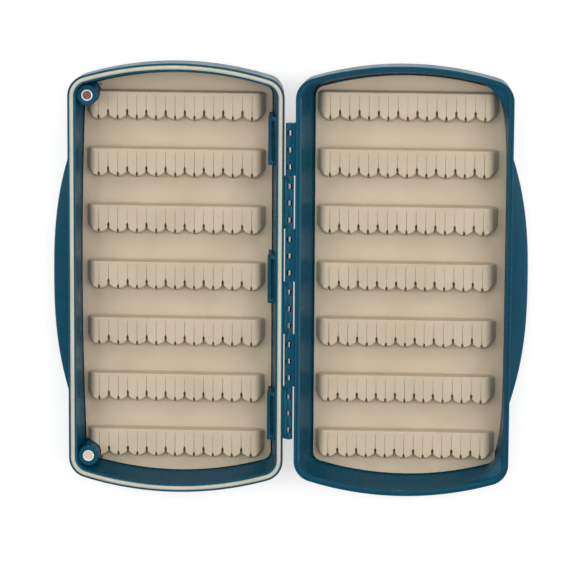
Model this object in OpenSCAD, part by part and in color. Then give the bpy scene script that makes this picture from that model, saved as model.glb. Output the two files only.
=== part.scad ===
// Two-half fly box, drawn lying open on its backs.
// The hinge axis runs along Y above x = 0. The base is on the -X side, the lid on the +X side.
// Every piece of a half is first drawn on the +X side, in u (away from the hinge) and v (along it),
// and the pieces of the base are then mirrored.

/* [Shells] */
// Width of one half across its rim
shell_w = 90; // [84:1:104]
// Length of one half along the hinge
shell_l = 182; // [172:1:200]
// Depth of one half, back to rim
half_h = 19; // [17:0.5:26]
// Thickness of the floors
floor_t = 2; // [1.5:0.1:3]
// Radius of the arched ends
end_arc_r = 135; // [110:5:250]
// Radius of the four rim corners
corner_r = 9; // [8:0.5:12]
// How far the outer walls lean in from rim to back
draft_in = 1.4; // [0.5:0.1:2]
// Rounding where the outer walls meet the backs
back_edge_r = 2.5; // [1:0.5:4]
// Small bevel on the rim edges
rim_bevel = 0.3; // [0.1:0.1:0.4]

/* [Finger grips] */
// How far the grip stands out past the rim
grip_out = 6.7; // [3:0.1:9]
// Half of the grip's length
grip_half_l = 53.5; // [40:0.5:60]
// Fullness of the grip's curve, where 2 is an arc
grip_power = 2.5; // [2:0.1:4]
// Depth of the grip's ledge below the rim
grip_drop = 5.5; // [4:0.5:8]
// Fall of the ledge from the wall to its edge
grip_fall = 1; // [0.5:0.5:2]
// Rounding of the ledge's edge
grip_edge_r = 2; // [1:0.25:2.5]
// Share of the grip that is left at the back
grip_back = 0.85; // [0.5:0.05:1]

/* [Rims and gasket] */
// Width of the outer lip of both rims
lip_w = 0.75; // [0.6:0.05:1.2]
// Width of the gasket
gasket_w = 1.7; // [1.4:0.1:2.2]
// Gap on each side of the gasket in its groove
groove_clear = 0.1; // [0.05:0.05:0.2]
// Depth of the gasket groove
groove_d = 1.6; // [1:0.1:2.2]
// How far the gasket stands above the base rim
gasket_proud = 0.7; // [0.4:0.1:1]
// Gap between the gasket and the closed lid
seal_gap = 0.3; // [0.2:0.05:0.4]
// Gap between the two rims when the box is closed
rim_gap = 0.2; // [0.1:0.05:0.4]
// Width of the lip inside the gasket
inner_lip_w = 0.75; // [0.6:0.05:1.2]
// Width of the lid's rim, with its lip and the land that meets the gasket
lid_land_w = 2.5; // [2:0.1:3]

/* [Inner walls at the floor] */
// Distance of both floors from the ends of the rim
end_inset = 5.8; // [5:0.1:7]
// Distance of the base floor from the rim at the hinge side
base_hinge_inset = 5.8; // [5.2:0.1:7]
// Distance of the base floor from the rim at the grip side, near the corners
base_outer_inset = 5.9; // [5:0.1:7]
// Outward bow of the base floor at the grip side
base_bow = 1.5; // [0:0.1:2.4]
// Fullness of that bow, where 2 is an arc
base_bow_power = 2; // [2:0.5:10]
// Distance of the lid floor from the rim at the hinge side
lid_hinge_inset = 7.4; // [5.5:0.1:8]
// Distance of the lid floor from the rim at the grip side, near the corners
lid_outer_inset = 5.5; // [5:0.1:7]
// Outward bow of the lid floor at the grip side
lid_bow = 2.9; // [0:0.1:3]
// Fullness of that bow, where 2 is an arc
lid_bow_power = 8; // [2:0.5:10]
// Least radius of the floor corners
floor_corner_r = 4; // [3:0.5:5]

/* [Hinge] */
// Distance from the hinge axis to each wall
half_gap = 2.25; // [2:0.05:3]
// Length of the row of knuckles
hinge_l = 134; // [100:1:140]
// See-through slot between a knuckle and the other half
knuckle_slot = 0.5; // [0.3:0.05:0.6]
// End gap between neighbouring knuckles
knuckle_gap = 0.3; // [0.2:0.05:0.6]
// Diameter of the hinge pin
pin_d = 1.6; // [1.2:0.1:1.8]
// Clearance all round the pin
pin_clear = 0.05; // [0.03:0.01:0.08]
// How far each end of the pin is set back
pin_recess = 0.4; // [0.2:0.1:1]
// Width of a pin window across the hinge
window_w = 2.2; // [1.8:0.1:2.4]
// Length of a pin window along the hinge
window_l = 2.3; // [1.5:0.1:3]
// Spacing of the windows in one knuckle
window_pitch = 7.1; // [5:0.1:7.5]

/* [Mats and ridges] */
// Thickness of the mat under the ridges
mat_t = 1.5; // [1:0.1:2.5]
// Gap between the mat and what it fits round
mat_clear = 0.3; // [0.2:0.05:0.6]
// Height of the ridges above the mat
ridge_h = 5.5; // [3:0.1:7]
// Depth of a ridge from its back to the tips of its scallops
ridge_d = 11.4; // [9:0.1:13]
// Least distance from the ends of the ridges to the mat's long sides
ridge_side_margin = 2; // [1.5:0.1:4]
// Distance from the first and last ridge to the mat's ends, at the ridge's corners
ridge_end_margin = 2.9; // [1.5:0.1:5]
// Width of one scallop
scallop_w = 8; // [6:0.5:10]
// Depth of one scallop
scallop_d = 2.4; // [1.5:0.1:3]
// Length of a ridge beyond its last slit
ridge_end_l = 3.1; // [2:0.1:4]
// Width of the hook slits
slit_w = 0.3; // [0.2:0.05:0.6]
// Width of the notch at the mouth of a slit
notch_w = 1; // [0.8:0.1:1.6]
// Depth of the notch at the mouth of a slit
notch_d = 1.8; // [1:0.1:2.5]
// Uncut silicone behind the slits and beside a post
slit_stop = 1.5; // [1:0.1:3]
// Shift of the base ridges away from the hinge
base_ridge_out = 1.1; // [0:0.1:1.2]
// Shift of the base ridges along the hinge
base_ridge_shift = -0.2; // [-1:0.1:1]
// Shift of the lid ridges along the hinge
lid_ridge_shift = 0.8; // [-1:0.1:1]

/* [Magnets] */
// Diameter of the posts that hold the base magnets
post_d = 8.8; // [7.5:0.1:9.5]
// Depth of the post tops below the rim
post_drop = 3; // [1.5:0.1:5]
// Distance of a post from the centre of its corner curve
post_out = 1.1; // [0:0.1:1.5]
// Diameter of the base magnets
magnet_d = 4.7; // [3:0.1:5.5]
// Thickness of the base magnets
magnet_t = 3; // [1.5:0.1:4]
// Diameter of the hidden lid magnets
lid_magnet_d = 4; // [3:0.1:4.2]
// Thickness of the hidden lid magnets
lid_magnet_t = 2; // [1:0.1:3]
// Clearance round each magnet
magnet_clear = 0.05; // [0.03:0.01:0.1]
// Plastic over and outside the hidden magnets
magnet_cover = 0.75; // [0.6:0.05:0.8]
// Depth of the lid's corner shoulders below the rim
shoulder_drop = 3.5; // [3:0.1:5]

/* [Slotted tabs] */
// Length of a tab
tab_l = 20.5; // [14:0.5:26]
// Distance of the tab's root from the rim's outer face
tab_root = 3; // [2.8:0.1:3.3]
// Distance of the tab's free side from the rim's outer face
tab_reach = 7.05; // [6.8:0.05:7.5]
// Thickness of the tab's bar
tab_bar = 1.5; // [1.2:0.1:1.8]
// Width of the slot in a tab
tab_slot_w = 1.2; // [0.8:0.1:1.4]
// Length of the slot in a tab
tab_slot_l = 17; // [10:0.5:18]
// Depth of the slot in a tab
tab_slot_d = 2; // [1:0.1:6]
// Depth of the tab's top below the rim
tab_drop = 5; // [4:0.5:7]
// Spacing of the three tabs
tab_pitch = 58.5; // [40:0.5:60]

/* [Colours] */
// Plastic of the shells and tabs
shell_colour = "#0b4a69";
// Silicone of the mats
mat_colour = "#b5a48f";
// Gasket
gasket_colour = "#d6cfc0";
// Steel of the pin
steel_colour = "#c9ced2";
// Plating of the magnets
magnet_colour = "#b9b6b2";

/* [Hidden] */

// How finely the outlines are drawn: points on the grip side, on a corner and on an arched end
side_steps = 16;
corner_steps = 6;
arc_steps = 12;
// Segments of true circles
round_fn = 48;
// Overlap where two shapes join, and reach of cuts past a face
join = 0.6;
past = 1;

// Levels
axis_z = half_h + rim_gap / 2;
lid_land_z = half_h - (gasket_proud + seal_gap - rim_gap);
mat_top = floor_t + mat_t;
post_top = half_h - post_drop;
tab_top = half_h - tab_drop;

// Rims
groove_w = gasket_w + 2 * groove_clear;
base_rim_w = lip_w + groove_w + inner_lip_w;
// Floors: distance from the rim at hinge, grip side and ends, then the bow at the grip side and its fullness
base_floor = [base_hinge_inset, base_outer_inset, end_inset, base_bow, base_bow_power];
lid_floor = [lid_hinge_inset, lid_outer_inset, end_inset, lid_bow, lid_bow_power];
// Share of the way to the corners over which a floor bows
bow_reach = 0.98;

// Grip: levels of its ledge and of the centre of its rounded edge, and its whole swell from the wall
ledge_z = half_h - grip_drop;
grip_edge_z = ledge_z - grip_fall - grip_edge_r;
grip_swell = grip_out + draft_in * (1 - grip_edge_z / half_h);

// Hinge
knuckles = 6;
windows = 3;
knuckle_pitch = hinge_l / knuckles;
knuckle_l = knuckle_pitch - knuckle_gap;
barrel_r = half_gap - knuckle_slot;
bore_r = pin_d / 2 + pin_clear;
web_fall = 1.2;
web_top_fall = 0.2;

// Corner curves of the rim, on which the posts and the hidden magnets are placed
rim_corner = corner_centre(0, 0, 0, corner_r);
rim_tilt = end_tilt(0, 0, 0, corner_r);
corner_mid = (90 - rim_tilt) / 2;
// Hidden magnets lie on the corner's diagonal, behind a shoulder of the inner wall
shoulder_top = half_h - shoulder_drop;
lid_magnet_top = shoulder_top - magnet_cover;
lid_magnet_r = corner_r - outer_inset(lid_magnet_top - lid_magnet_t) - magnet_cover - lid_magnet_d / 2;
shoulder_inset = corner_r - lid_magnet_r + lid_magnet_d / 2 + magnet_cover;

// Ridges
ridges = 7;
function ridge_scallops(floor) =
    floor_count(shell_w - floor[0] - floor[1] - 2 * (mat_clear + ridge_side_margin), scallop_w);
function floor_count(length, step) = floor(length / step);
function ridge_half_l(n) = (n - 1) * scallop_w / 2 + ridge_end_l;
base_scallops = ridge_scallops(base_floor);
lid_scallops = ridge_scallops(lid_floor);
base_ridge_u = half_gap + (shell_w + base_hinge_inset - base_outer_inset) / 2 + base_ridge_out;
lid_ridge_u = half_gap + (shell_w + lid_hinge_inset - lid_outer_inset) / 2;
// The mat's arched end falls back by this much at a ridge's corner
end_fall = end_arc_r - sqrt(pow(end_arc_r, 2) - pow(ridge_half_l(base_scallops), 2));
ridge_span = shell_l - 2 * (end_inset + end_fall + ridge_end_margin);
ridge_pitch = (ridge_span - ridge_d) / (ridges - 1);

// ---- Outlines ----

// Half width between a wall at the hinge side and one at the grip side, set in by th and to
function half_width(th, to) = (shell_w - th - to) / 2;
// Middle of that width, from the hinge axis
function mid_u(th, to) = half_gap + (shell_w + th - to) / 2;
// Centre of the end arc, along v
function arc_centre_v(te) = shell_l / 2 - te - (end_arc_r - te);
// Angle of the end arc from its middle to where the corner takes over
function end_tilt(th, to, te, rc) = asin((half_width(th, to) - rc) / (end_arc_r - te - rc));
// Centre of the corner at the grip side, where both arcs touch
function corner_centre(th, to, te, rc) =
    let (cu = half_width(th, to) - rc, reach = end_arc_r - te - rc)
    [mid_u(th, to) + cu, arc_centre_v(te) + sqrt(reach * reach - cu * cu)];

// 0 to 1 with level ends
function smooth(x) = let (c = min(1, max(0, x))) c * c * (3 - 2 * c);

// Points of an arc, from its step first to its step last
function arc(centre, r, from, to, first, last, steps) =
    [for (i = [first:1:last]) let (a = from + (to - from) * i / steps) centre + r * [cos(a), sin(a)]];

// Outline of a half, anticlockwise from the lower end's arc.
// th, to and te set it in from the rim at the hinge, grip side and ends.
// rg and rh round its corners at the grip side and at the hinge side.
// The grip side bows over the grip's length, or from corner to corner where a power of its own is given.
function outline(th, to, te, rg, rh, bow = 0, power = 0) =
    let (
        grip_tilt = end_tilt(th, to, te, rg),
        hinge_tilt = end_tilt(th, to, te, rh),
        grip = corner_centre(th, to, te, rg),
        hinge_side = corner_centre(th, to, te, rh),
        hinge = [2 * mid_u(th, to) - hinge_side[0], hinge_side[1]],
        side_u = half_gap + shell_w - to,
        side_half = power > 0 ? bow_reach * grip[1] : grip_half_l,
        side_power = power > 0 ? power : grip_power,
        mid = [mid_u(th, to), arc_centre_v(te)],
        r = end_arc_r - te
    )
    concat(
        arc(flipped(mid), r, 270 - hinge_tilt, 270 + grip_tilt, 1, arc_steps - 1, arc_steps),
        arc(flipped(grip), rg, 270 + grip_tilt, 360, 0, corner_steps, corner_steps),
        [for (i = [0:1:side_steps])
            let (share = 2 * i / side_steps - 1)
            [side_u + bow * (1 - pow(abs(share), side_power)), side_half * share]],
        arc(grip, rg, 0, 90 - grip_tilt, 0, corner_steps, corner_steps),
        arc(mid, r, 90 - grip_tilt, 90 + hinge_tilt, 1, arc_steps - 1, arc_steps),
        arc(hinge, rh, 90 + hinge_tilt, 180, 0, corner_steps, corner_steps),
        arc(flipped(hinge), rh, 180, 270 - hinge_tilt, 0, corner_steps, corner_steps)
    );
function flipped(p) = [p[0], -p[1]];
// The same distance in all round
function even_outline(t) = outline(t, t, t, corner_r - t, corner_r - t);
// Radius that keeps a corner at the grip side solid to the depth needed on its diagonal
function shoulder_r(th, to, te, rc, needed) =
    let (
        own = corner_centre(th, to, te, rc) + rc * [cos(corner_mid), sin(corner_mid)],
        depth = corner_r - norm(own - rim_corner)
    )
    rc + max(0, needed - depth) / (1 / cos(corner_mid) - 1);
// Outline of a floor, set in further by extra
function floor_outline(floor, extra) =
    outline(floor[0] + extra, floor[1] + extra, floor[2] + extra, floor_corner_r, floor_corner_r,
        floor[3], floor[4]);

// ---- Shell as a stack of outlines ----

function at_level(points, z) = [for (p = points) [p[0], p[1], z]];
function outer_inset(z) = draft_in * (1 - z / half_h);
function outer_ring(z, bow, t) = at_level(outline(t, t, t, corner_r - t, corner_r - t, bow), z);
function wall_ring(z, bow) = outer_ring(z, bow, outer_inset(z));
// Rounded edge at the back, then the grip's side, its rounded edge and its ledge, up to the rim
function outer_rings() =
    let (back_t = outer_inset(back_edge_r))
    concat(
        [for (a = [0, 30, 60])
            outer_ring(back_edge_r * (1 - cos(a)), grip_swell * grip_back,
                back_t + back_edge_r * (1 - sin(a)))],
        [wall_ring(back_edge_r, grip_swell * grip_back)],
        [for (a = [0:30:90])
            wall_ring(grip_edge_z + grip_edge_r * sin(a), grip_swell - grip_edge_r * (1 - cos(a)))],
        [wall_ring(ledge_z, 0), wall_ring(half_h - rim_bevel, 0)],
        [at_level(even_outline(rim_bevel), half_h)]
    );
function base_rim_rings() = [
    at_level(even_outline(lip_w), half_h),
    at_level(even_outline(lip_w), half_h - groove_d),
    at_level(even_outline(lip_w + groove_w), half_h - groove_d),
    at_level(even_outline(lip_w + groove_w), half_h),
    at_level(even_outline(base_rim_w - rim_bevel), half_h)
];
function lid_rim_rings() = [
    at_level(even_outline(lip_w), half_h),
    at_level(even_outline(lip_w), lid_land_z),
    at_level(even_outline(lid_land_w - rim_bevel), lid_land_z)
];
// Inner wall: leaves the rim at rim_w and the level top, and reaches the floor's own outline, steeper at first
function inner_rings(rim_w, top, floor, needed) =
    [for (f = [0, 0.1, 0.22, 0.4, 0.6, 0.8, 1])
        let (
            z = top - rim_bevel - f * (top - rim_bevel - floor_t),
            g = pow(f, 1.3),
            th = rim_w + (floor[0] - rim_w) * g,
            to = rim_w + (floor[1] - rim_w) * g,
            te = rim_w + (floor[2] - rim_w) * g,
            rc = max(corner_r - te, floor_corner_r),
            need = needed * smooth((half_h - z) / shoulder_drop)
        )
        at_level(outline(th, to, te, shoulder_r(th, to, te, rc, need), rc, floor[3] * g, floor[4]), z)];

// Closed skin over a stack of rings that all have the same number of points
module skin(rings) {
    n = len(rings[0]);
    last = len(rings) - 1;
    polyhedron(
        points = [for (ring = rings) each ring],
        faces = concat(
            [[for (i = [0:1:n - 1]) i]],
            [for (k = [0:1:last - 1], i = [0:1:n - 1])
                [k * n + i, (k + 1) * n + i, (k + 1) * n + (i + 1) % n]],
            [for (k = [0:1:last - 1], i = [0:1:n - 1])
                [k * n + i, (k + 1) * n + (i + 1) % n, k * n + (i + 1) % n]],
            [[for (i = [n - 1:-1:0]) last * n + i]]
        ),
        convexity = 8
    );
}

// ---- Hinge ----

// Profile drawn in u and height above the axis, swept along v
module along_v(length) { rotate([90, 0, 0]) linear_extrude(length, center = true) children(); }

module knuckle(v) {
    translate([0, v, axis_z]) {
        rotate([90, 0, 0]) cylinder(r = barrel_r, h = knuckle_l, center = true, $fn = round_fn);
        along_v(knuckle_l) polygon([
            [0, barrel_r],
            [half_gap, -rim_gap / 2 - web_top_fall],
            [half_gap + join, -rim_gap / 2 - 2 * web_top_fall],
            [half_gap + join, -barrel_r - web_fall],
            [0, -barrel_r]
        ]);
    }
}

module knuckle_cuts(v) {
    translate([0, v, axis_z]) {
        rotate([90, 0, 0]) cylinder(r = bore_r, h = knuckle_pitch, center = true, $fn = round_fn);
        for (i = [0:1:windows - 1])
            translate([-window_w / 2, (i - (windows - 1) / 2) * window_pitch - window_l / 2, 0])
                cube([window_w, window_l, barrel_r + past]);
    }
}

// Every second knuckle, counted from the +Y end, belongs to one half
function knuckle_places(first) =
    [for (k = [first:2:knuckles - 1]) hinge_l / 2 - (k + 0.5) * knuckle_pitch];

module with_knuckles(first) {
    difference() {
        union() {
            children();
            for (v = knuckle_places(first)) knuckle(v);
        }
        for (v = knuckle_places(first)) knuckle_cuts(v);
    }
}

module hinge_pin() {
    color(steel_colour)
        translate([0, 0, axis_z])
            rotate([90, 0, 0])
                cylinder(d = pin_d, h = hinge_l - 2 * pin_recess, center = true, $fn = round_fn);
}

// ---- Shells ----

module base_side() { mirror([1, 0, 0]) children(); }

module post_place(side) { translate([rim_corner[0] + post_out, side * rim_corner[1], 0]) children(); }

module base_shell() {
    color(shell_colour) base_side() with_knuckles(1) difference() {
        union() {
            skin(concat(outer_rings(), base_rim_rings(), inner_rings(base_rim_w, half_h, base_floor, 0)));
            for (side = [-1, 1])
                post_place(side)
                    translate([0, 0, floor_t / 2])
                        cylinder(d = post_d, h = post_top - floor_t / 2, $fn = round_fn);
        }
        for (side = [-1, 1])
            post_place(side)
                translate([0, 0, post_top - magnet_t])
                    cylinder(d = magnet_d + 2 * magnet_clear, h = magnet_t + past, $fn = round_fn);
        for (i = [-1:1:1]) tab_block(i);
    }
}

module lid_magnet_place(side) {
    translate([
        rim_corner[0] + lid_magnet_r * cos(corner_mid),
        side * (rim_corner[1] + lid_magnet_r * sin(corner_mid)),
        lid_magnet_top - lid_magnet_t
    ]) children();
}

module lid_shell() {
    color(shell_colour) with_knuckles(0) difference() {
        skin(concat(outer_rings(), lid_rim_rings(),
            inner_rings(lid_land_w, lid_land_z, lid_floor, shoulder_inset)));
        for (side = [-1, 1])
            lid_magnet_place(side)
                translate([0, 0, -magnet_clear])
                    cylinder(d = lid_magnet_d + 2 * magnet_clear, h = lid_magnet_t + 2 * magnet_clear,
                        $fn = round_fn);
    }
}

module rim_gasket() {
    color(gasket_colour) base_side()
        translate([0, 0, half_h - groove_d])
            linear_extrude(groove_d + gasket_proud)
                difference() {
                    polygon(even_outline(lip_w + groove_clear));
                    polygon(even_outline(lip_w + groove_clear + gasket_w));
                }
}

// ---- Magnets ----

module base_magnet(side) {
    color(magnet_colour) base_side()
        post_place(side)
            translate([0, 0, post_top - magnet_t])
                cylinder(d = magnet_d, h = magnet_t, $fn = round_fn);
}

module lid_magnet(side) {
    color(magnet_colour)
        lid_magnet_place(side) cylinder(d = lid_magnet_d, h = lid_magnet_t, $fn = round_fn);
}

// ---- Slotted tabs on the base's hinge side ----

module tab_block(i) {
    translate([half_gap + tab_root, i * tab_pitch - tab_l / 2, floor_t])
        cube([tab_reach - tab_root, tab_l, tab_top - floor_t]);
}

module slotted_tab(i) {
    color(shell_colour) base_side() difference() {
        tab_block(i);
        translate([
            half_gap + tab_reach - tab_bar - tab_slot_w,
            i * tab_pitch - tab_slot_l / 2,
            tab_top - tab_slot_d
        ]) cube([tab_slot_w, tab_slot_l, tab_slot_d + past]);
    }
}

// ---- Mats and ridges ----

module mat(floor) {
    translate([0, 0, floor_t]) linear_extrude(mat_t) difference() {
        polygon(floor_outline(floor, mat_clear));
        children();
    }
}

module post_notches() {
    for (side = [-1, 1])
        post_place(side) circle(d = post_d + 2 * mat_clear, $fn = round_fn);
}

module tab_notches() {
    for (i = [-1:1:1])
        translate([half_gap, i * tab_pitch - tab_l / 2 - mat_clear])
            square([tab_reach + mat_clear, tab_l + 2 * mat_clear]);
}

module base_mat() {
    color(mat_colour) base_side() mat(base_floor) {
        post_notches();
        tab_notches();
    }
}

module lid_mat() { color(mat_colour) mat(lid_floor); }

// Front edge of a ridge with n scallops, at x from its middle
function scallop_v(x, n) =
    let (
        r = (pow(scallop_w / 2, 2) + pow(scallop_d, 2)) / (2 * scallop_d),
        p = abs((x + n * scallop_w / 2) % scallop_w - scallop_w / 2)
    )
    r - sqrt(r * r - p * p) - ridge_d / 2;
// Points along the edge from x0 to x1, without the ends
function scallop_run(x0, x1, n) =
    [for (i = [1:1:3]) let (x = x0 + (x1 - x0) * i / 4) [x, scallop_v(x, n)]];
// Mouth and slit at x: every scallop has one in its middle and one at each joint with the next
function slit_points(x, n) =
    let (y = scallop_v(x, n), top = ridge_d / 2 - slit_stop)
    [
        [x - notch_w / 2, scallop_v(x - notch_w / 2, n)],
        [x - slit_w / 2, y + notch_d],
        [x - slit_w / 2, top],
        [x + slit_w / 2, top],
        [x + slit_w / 2, y + notch_d],
        [x + notch_w / 2, scallop_v(x + notch_w / 2, n)]
    ];
function ridge_outline(n) =
    let (half = n * scallop_w / 2, end = ridge_half_l(n), step = scallop_w / 2, slits = 2 * n - 1)
    concat(
        [[-end, ridge_d / 2], [-end, scallop_v(-end, n)]],
        scallop_run(-end, -half + step - notch_w / 2, n),
        [for (k = [1:1:slits])
            let (x = -half + k * step)
            each concat(
                slit_points(x, n),
                k < slits ? scallop_run(x + notch_w / 2, x + step - notch_w / 2, n) : []
            )],
        scallop_run(half - step + notch_w / 2, end, n),
        [[end, scallop_v(end, n)], [end, ridge_d / 2]]
    );

function ridge_v(j, shift) = ((ridges + 1) / 2 - j) * ridge_pitch + shift;

module on_mat() { translate([0, 0, mat_top]) linear_extrude(ridge_h) children(); }

module ridge_plan(u, v, n) { translate([u, v]) polygon(ridge_outline(n)); }

// The upper post stands at the back of the first ridge, which is left uncut beside it
module post_wall(v) {
    intersection() {
        translate([base_ridge_u - ridge_half_l(base_scallops), v])
            square([2 * ridge_half_l(base_scallops), ridge_d / 2]);
        post_place(1) circle(d = post_d + 2 * (mat_clear + slit_stop), $fn = round_fn);
    }
}

module base_ridge(j) {
    v = ridge_v(j, base_ridge_shift);
    color(mat_colour) base_side() on_mat() difference() {
        union() {
            ridge_plan(base_ridge_u, v, base_scallops);
            if (j == 1) post_wall(v);
        }
        post_notches();
    }
}

module lid_ridge(j) {
    color(mat_colour) on_mat() ridge_plan(lid_ridge_u, ridge_v(j, lid_ridge_shift), lid_scallops);
}

base_shell();
lid_shell();
hinge_pin();
rim_gasket();
base_mat();
base_ridge(1);  // base_ridge_1
base_ridge(2);  // base_ridge_2
base_ridge(3);  // base_ridge_3
base_ridge(4);  // base_ridge_4
base_ridge(5);  // base_ridge_5
base_ridge(6);  // base_ridge_6
base_ridge(7);  // base_ridge_7
lid_mat();
lid_ridge(1);  // lid_ridge_1
lid_ridge(2);  // lid_ridge_2
lid_ridge(3);  // lid_ridge_3
lid_ridge(4);  // lid_ridge_4
lid_ridge(5);  // lid_ridge_5
lid_ridge(6);  // lid_ridge_6
lid_ridge(7);  // lid_ridge_7
base_magnet(1);  // base_magnet_upper
base_magnet(-1);  // base_magnet_lower
lid_magnet(1);  // lid_magnet_upper
lid_magnet(-1);  // lid_magnet_lower
slotted_tab(1);  // slotted_tab_upper
slotted_tab(0);  // slotted_tab_middle
slotted_tab(-1);  // slotted_tab_lower
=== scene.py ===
"""Fly box, lying open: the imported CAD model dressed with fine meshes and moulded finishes.

Mesh code works in millimetres, in u (away from the hinge), v (along it) and z (up), with both halves drawn
on the +X side. The base is mirrored to -X, and everything becomes metres when its object is made.
"""

import logging
import math
import random
from dataclasses import dataclass
from enum import Enum
from typing import Sequence

import bmesh
import bpy
from mathutils import Matrix, Vector

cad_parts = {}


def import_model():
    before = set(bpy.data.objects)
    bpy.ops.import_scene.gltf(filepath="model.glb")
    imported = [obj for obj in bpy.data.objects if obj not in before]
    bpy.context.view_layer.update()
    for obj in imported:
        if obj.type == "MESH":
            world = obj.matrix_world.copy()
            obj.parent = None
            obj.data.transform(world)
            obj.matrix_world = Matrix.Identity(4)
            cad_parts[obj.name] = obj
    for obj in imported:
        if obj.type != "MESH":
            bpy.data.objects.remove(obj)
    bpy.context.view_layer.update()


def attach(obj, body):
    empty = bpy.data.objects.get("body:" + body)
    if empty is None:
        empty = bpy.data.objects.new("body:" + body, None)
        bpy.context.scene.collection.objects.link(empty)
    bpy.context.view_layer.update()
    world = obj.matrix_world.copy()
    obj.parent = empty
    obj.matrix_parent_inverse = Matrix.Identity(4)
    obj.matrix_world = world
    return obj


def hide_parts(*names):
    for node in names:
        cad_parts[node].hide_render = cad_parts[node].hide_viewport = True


LOG = logging.getLogger("fly_box")

MM = 0.001
QUARTER = math.pi / 2
TURN = 2 * math.pi

# Heights that several pieces share.
FLOOR = 2.0
MAT_TOP = 3.5
RIM = 19.0

# Heights of the cutters: all start under the sheets, and end above a sheet or above a ridge.
CUT_LOW = 1.0
CUT_SHEET = 5.0
CUT_RIDGE = 12.0

# Radius of the floors' corners, and the least radius of the inner walls' corners.
FLOOR_CORNER = 4.0

# Radius of the cap in the middle of a turned face.
CAP = 0.01

Flat = tuple[float, float]
Spot = tuple[float, float, float]
Ring = list[Spot]
Skin = bmesh.types.BMesh
Piece = bpy.types.Object
Socket = bpy.types.NodeSocket


class Half(Enum):
    """The two halves, by the CAD body that each rides on."""

    BASE = "base"
    LID = "lid"

    @property
    def side(self) -> float:
        """Sign of world X on this half."""
        return -1.0 if self is Half.BASE else 1.0


class Slot(Enum):
    """Material slots of the record."""

    SHELL = "shell_plastic"
    MAT = "mat_silicone"
    GASKET = "gasket_silicone"
    STEEL = "pin_steel"
    NICKEL = "magnet_nickel"


# ---- Lines and arcs ----


def sweep(angle: float, steps: int) -> list[float]:
    """Angles from 0 to the given one in even steps, with both ends."""
    return [angle * i / steps for i in range(steps + 1)]


def arc(centre: Flat, r: float, start: float, end: float, steps: int) -> list[Flat]:
    """Points of an arc with both its ends."""
    return [(centre[0] + r * math.cos(a), centre[1] + r * math.sin(a))
            for a in (start + part for part in sweep(end - start, steps))]


def fillet(radius: float, steps: int) -> list[Flat]:
    """Points of a quarter round as (inset, drop), from the wall to the top."""
    return [(radius * (1 - math.cos(a)), radius * (1 - math.sin(a))) for a in sweep(QUARTER, steps)]


def at(points: Sequence[Flat], z: float) -> Ring:
    """Lifts flat points to a height."""
    return [(u, v, z) for u, v in points]


def eased(x: float) -> float:
    """0 to 1 with level ends."""
    c = min(1.0, max(0.0, x))
    return c * c * (3 - 2 * c)


# ---- Mesh helpers ----


def shade(mesh: bpy.types.Mesh, sharp: float) -> None:
    """Shades a mesh smooth, apart from edges that turn by more than this angle in degrees."""
    mesh.shade_smooth()
    mesh.set_sharp_from_angle(angle=math.radians(sharp))


def to_object(name: str, bm: Skin, side: float = 1.0, sharp: float = 40.0) -> Piece:
    """Turns a mesh drawn in millimetres into an object in metres.

    Args:
        name: Name of the new object.
        bm: Mesh in u, v and z, which is freed.
        side: -1 mirrors it to the base's side.
        sharp: Angle in degrees above which an edge shades as a crease.

    Returns:
        The new object, smooth shaded and linked to the scene.
    """
    bmesh.ops.scale(bm, vec=(side * MM, MM, MM), verts=bm.verts)
    bmesh.ops.recalc_face_normals(bm, faces=bm.faces)
    mesh = bpy.data.meshes.new(name)
    bm.to_mesh(mesh)
    bm.free()
    shade(mesh, sharp)
    piece = bpy.data.objects.new(name, mesh)
    bpy.context.scene.collection.objects.link(piece)
    return piece


def bridge(bm: Skin, low: Sequence[bmesh.types.BMVert], high: Sequence[bmesh.types.BMVert]) -> None:
    """Fills the band between two closed rings.

    Args:
        bm: Mesh that holds both rings.
        low: Vertices of one ring.
        high: As many vertices of the other.
    """
    count = len(low)
    for i in range(count):
        j = (i + 1) % count
        bm.faces.new((low[i], low[j], high[j], high[i]))


def loft(rings: Sequence[Ring], closed: bool = False) -> Skin:
    """Joins a stack of rings into a skin.

    Args:
        rings: Rings that all have the same number of points.
        closed: Whether the last ring joins the first, as round a seal, rather than both being filled.

    Returns:
        The skin as a new mesh.
    """
    bm = bmesh.new()
    rows = [[bm.verts.new(p) for p in ring] for ring in rings]
    for low, high in zip(rows, rows[1:]):
        bridge(bm, low, high)
    if closed:
        bridge(bm, rows[-1], rows[0])
    else:
        bm.faces.new(rows[0])
        bm.faces.new(rows[-1])
    return bm


def lathe(profile: Sequence[Flat], centre: Spot, turns: int = 64, along_y: bool = False,
          closed: bool = False) -> Skin:
    """Turns a profile about an axis.

    Args:
        profile: Points of radius and height, from the first cap to the last.
        centre: Where the axis and height 0 are.
        turns: Number of steps round.
        along_y: Whether the axis lies along Y rather than Z.
        closed: Whether the profile is closed, as for a loose ring, and has no caps.

    Returns:
        The turned solid as a new mesh.
    """
    rings: list[Ring] = []
    for radius, height in profile:
        ring: Ring = []
        for a in sweep(TURN, turns)[:-1]:
            x, y = radius * math.cos(a), radius * math.sin(a)
            ring.append((centre[0] + x, centre[1] + height, centre[2] + y) if along_y
                        else (centre[0] + x, centre[1] + y, centre[2] + height))
        rings.append(ring)
    return loft(rings, closed)


def prism(points: Sequence[Flat], low: float, high: float, along_y: bool = False) -> Skin:
    """Extrudes a flat outline.

    Args:
        points: Outline in u and v, or in u and z along Y.
        low: Height, or place along Y, where it starts.
        high: Height, or place along Y, where it ends.
        along_y: Whether it runs along Y rather than up.

    Returns:
        The solid as a new mesh.
    """
    if along_y:
        return loft([[(x, y, z) for x, z in points] for y in (low, high)])
    return loft([at(points, z) for z in (low, high)])


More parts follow.
